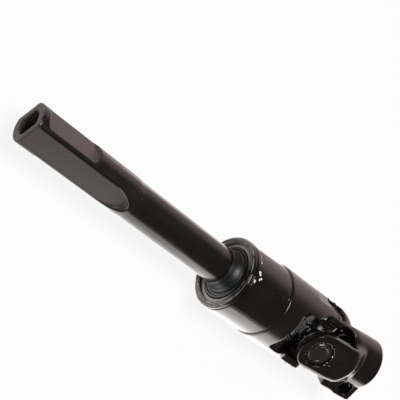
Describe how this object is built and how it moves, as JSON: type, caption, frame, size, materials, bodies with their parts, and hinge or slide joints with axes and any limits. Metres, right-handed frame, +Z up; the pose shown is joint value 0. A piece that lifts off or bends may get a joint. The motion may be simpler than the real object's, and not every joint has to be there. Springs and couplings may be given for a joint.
{
  "type": "steering shaft joint",
  "caption": "Lower steering shaft: hollow tube with a flatted end, rubber damper sleeve, needle-bearing universal joint and split clamp yoke.",
  "frame": {"origin": "on the shaft's axis, at the end face of its flatted tip", "axes": "+X along the shaft from its tip to the joint, +Z up as the part lies"},
  "size_m": [0.2585, 0.044, 0.0471],
  "materials": {
    "shaft_paint": "satin black paint on steel tube",
    "black_paint": "glossy black paint on steel",
    "cup_paint": "thin black paint over drawn steel",
    "dark_steel": "greasy dark forged steel",
    "steel": "ground steel",
    "rubber": "satin black rubber",
    "plastic": "natural nylon"
  },
  "bodies": {
    "coupling": {"cup_yoke": "black_paint", "damper_sleeve": "black_paint", "outer_ring": "steel", "rubber_isolator": "rubber", "bearing_cup_left": "cup_paint", "bearing_cup_right": "cup_paint", "needle_set_left": "steel", "needle_set_right": "steel", "thrust_pad_left": "plastic", "thrust_pad_right": "plastic"},
    "shaft": {"inner_shaft": "shaft_paint", "inner_bush": "steel", "stop_washer": "steel"},
    "cross": {"cross": "dark_steel", "trunnion_seal_left": "rubber", "trunnion_seal_right": "rubber", "trunnion_seal_upper": "rubber", "trunnion_seal_lower": "rubber"},
    "clamp": {"clamp_yoke": "black_paint", "bearing_cup_upper": "cup_paint", "bearing_cup_lower": "cup_paint", "needle_set_upper": "steel", "needle_set_lower": "steel", "thrust_pad_upper": "plastic", "thrust_pad_lower": "plastic"}
  },
  "joints": [
    {"name": "isolator_twist", "type": "hinge", "parent": "coupling", "child": "shaft", "pos_m": [0.146, 0, 0], "axis": [1, 0, 0], "range_deg": [-4, 4], "stiffness_Nm_per_rad": 50},
    {"name": "cross_swing", "type": "hinge", "parent": "coupling", "child": "cross", "pos_m": [0.21138, 0.00068, 0.00029], "axis": [-0.0227, 0.7312, 0.6818], "range_deg": [-25.5, 40.5]},
    {"name": "yoke_swing", "type": "hinge", "parent": "cross", "child": "clamp", "pos_m": [0.21138, 0.00068, 0.00029], "axis": [-0.1305, -0.6783, 0.7231], "range_deg": [-40.6, 25.4]}
  ]
}
